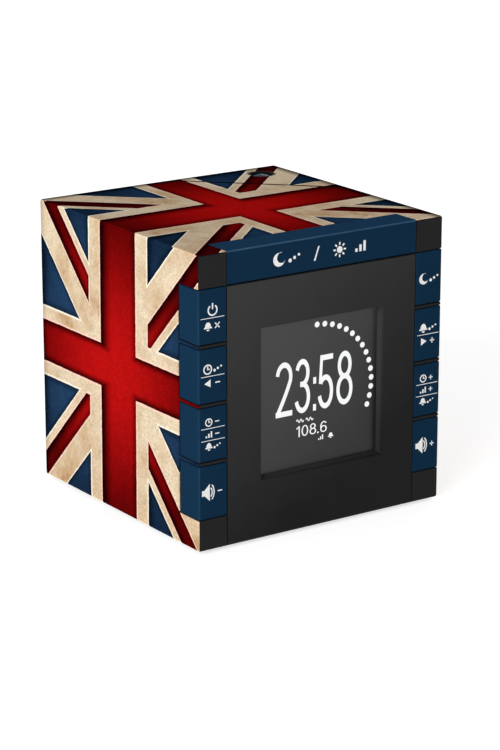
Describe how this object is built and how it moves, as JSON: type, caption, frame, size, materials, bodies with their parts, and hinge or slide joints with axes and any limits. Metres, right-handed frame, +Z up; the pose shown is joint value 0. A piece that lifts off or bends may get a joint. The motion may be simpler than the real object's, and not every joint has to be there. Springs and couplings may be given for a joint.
{
  "type": "projection clock radio",
  "caption": "Cube-shaped bedside clock radio with keys wrapped round its front edges, a recessed display and a corner that turns to aim a time projector.",
  "frame": {"origin": "on the table under the middle of the case", "axes": "+Z up, -Y out of the front with the display, +X to the right seen from the front"},
  "size_m": [0.1, 0.1, 0.1022],
  "materials": {
    "printed_plastic": "printed and lacquered",
    "charcoal_plastic": "satin",
    "navy_plastic": "satin",
    "black_plastic": "fine texture",
    "rubber": "matte",
    "display_glass": "satin",
    "light_guide": "milky",
    "circuit_board": "solder mask",
    "steel": "plated",
    "lens_glass": "polished",
    "copper_wire": "enamelled",
    "ferrite": "dull",
    "cone_paper": "pressed paper",
    "flat_cable": "ribbed"
  },
  "bodies": {
    "case": {"case_shell": "printed_plastic", "front_panel": "charcoal_plastic", "rear_cover": "black_plastic", "snooze_switch": "black_plastic", "switch_left_1": "black_plastic", "switch_left_2": "black_plastic", "switch_left_3": "black_plastic", "switch_left_4": "black_plastic", "switch_right_1": "black_plastic", "switch_right_2": "black_plastic", "switch_right_3": "black_plastic", "switch_right_4": "black_plastic", "smoothing_capacitor": "black_plastic", "power_socket": "black_plastic", "foot_front_left": "rubber", "foot_front_right": "rubber", "foot_back_left": "rubber", "foot_back_right": "rubber", "aerial_grommet": "rubber", "pivot_washer": "rubber", "lcd_glass": "display_glass", "lcd_backlight": "light_guide", "front_board": "circuit_board", "main_board": "circuit_board", "tuner_shield": "steel", "speaker_frame": "steel", "coin_cell": "steel", "battery_contact": "steel", "rear_screw_1": "steel", "rear_screw_2": "steel", "rear_screw_3": "steel", "rear_screw_4": "steel", "board_screw_1": "steel", "board_screw_2": "steel", "main_screw_1": "steel", "main_screw_2": "steel", "speaker_screw_1": "steel", "speaker_screw_2": "steel", "aerial_coil": "copper_wire", "ferrite_rod": "ferrite", "speaker_magnet": "ferrite", "speaker_cone": "cone_paper", "ribbon_cable": "flat_cable"},
    "snooze": {"snooze_bar": "navy_plastic"},
    "key_left_1": {"key_left_1": "navy_plastic"},
    "key_left_2": {"key_left_2": "navy_plastic"},
    "key_left_3": {"key_left_3": "navy_plastic"},
    "key_left_4": {"key_left_4": "navy_plastic"},
    "key_right_1": {"key_right_1": "navy_plastic"},
    "key_right_2": {"key_right_2": "navy_plastic"},
    "key_right_3": {"key_right_3": "navy_plastic"},
    "key_right_4": {"key_right_4": "navy_plastic"},
    "projector_corner": {"corner_shell": "printed_plastic", "corner_base": "black_plastic", "pivot_clip": "steel", "projector_lcd": "display_glass", "projector_lamp": "light_guide"},
    "focus_barrel": {"lens_barrel": "black_plastic", "projection_lens": "lens_glass"},
    "battery_cap": {"battery_cap": "black_plastic"}
  },
  "joints": [
    {"name": "snooze_press", "type": "slide", "parent": "case", "child": "snooze", "axis": [0, 0, -1], "range_m": [0, 0.0005], "stiffness_N_per_m": 1500, "springref_m": -0.0003},
    {"name": "key_left_1_press", "type": "slide", "parent": "case", "child": "key_left_1", "axis": [0, 1, 0], "range_m": [0, 0.0005], "stiffness_N_per_m": 1500, "springref_m": -0.0003},
    {"name": "key_left_2_press", "type": "slide", "parent": "case", "child": "key_left_2", "axis": [0, 1, 0], "range_m": [0, 0.0005], "stiffness_N_per_m": 1500, "springref_m": -0.0003},
    {"name": "key_left_3_press", "type": "slide", "parent": "case", "child": "key_left_3", "axis": [0, 1, 0], "range_m": [0, 0.0005], "stiffness_N_per_m": 1500, "springref_m": -0.0003},
    {"name": "key_left_4_press", "type": "slide", "parent": "case", "child": "key_left_4", "axis": [0, 1, 0], "range_m": [0, 0.0005], "stiffness_N_per_m": 1500, "springref_m": -0.0003},
    {"name": "key_right_1_press", "type": "slide", "parent": "case", "child": "key_right_1", "axis": [0, 1, 0], "range_m": [0, 0.0005], "stiffness_N_per_m": 1500, "springref_m": -0.0003},
    {"name": "key_right_2_press", "type": "slide", "parent": "case", "child": "key_right_2", "axis": [0, 1, 0], "range_m": [0, 0.0005], "stiffness_N_per_m": 1500, "springref_m": -0.0003},
    {"name": "key_right_3_press", "type": "slide", "parent": "case", "child": "key_right_3", "axis": [0, 1, 0], "range_m": [0, 0.0005], "stiffness_N_per_m": 1500, "springref_m": -0.0003},
    {"name": "key_right_4_press", "type": "slide", "parent": "case", "child": "key_right_4", "axis": [0, 1, 0], "range_m": [0, 0.0005], "stiffness_N_per_m": 1500, "springref_m": -0.0003},
    {"name": "projector_corner_turn", "type": "hinge", "parent": "case", "child": "projector_corner", "pos_m": [0.03433, 0.03433, 0.08653], "axis": [0.5774, 0.5774, 0.5774], "range_deg": [-120, 120]},
    {"name": "lens_focus_turn", "type": "hinge", "parent": "projector_corner", "child": "focus_barrel", "pos_m": [0.0375, 0.0401, 0.1022], "axis": [0, 0, 1], "range_deg": [-60, 60]},
    {"name": "battery_cap_turn", "type": "hinge", "parent": "case", "child": "battery_cap", "pos_m": [0, -0.02, 0.0012], "axis": [0, 0, -1], "range_deg": [0, 40]}
  ]
}
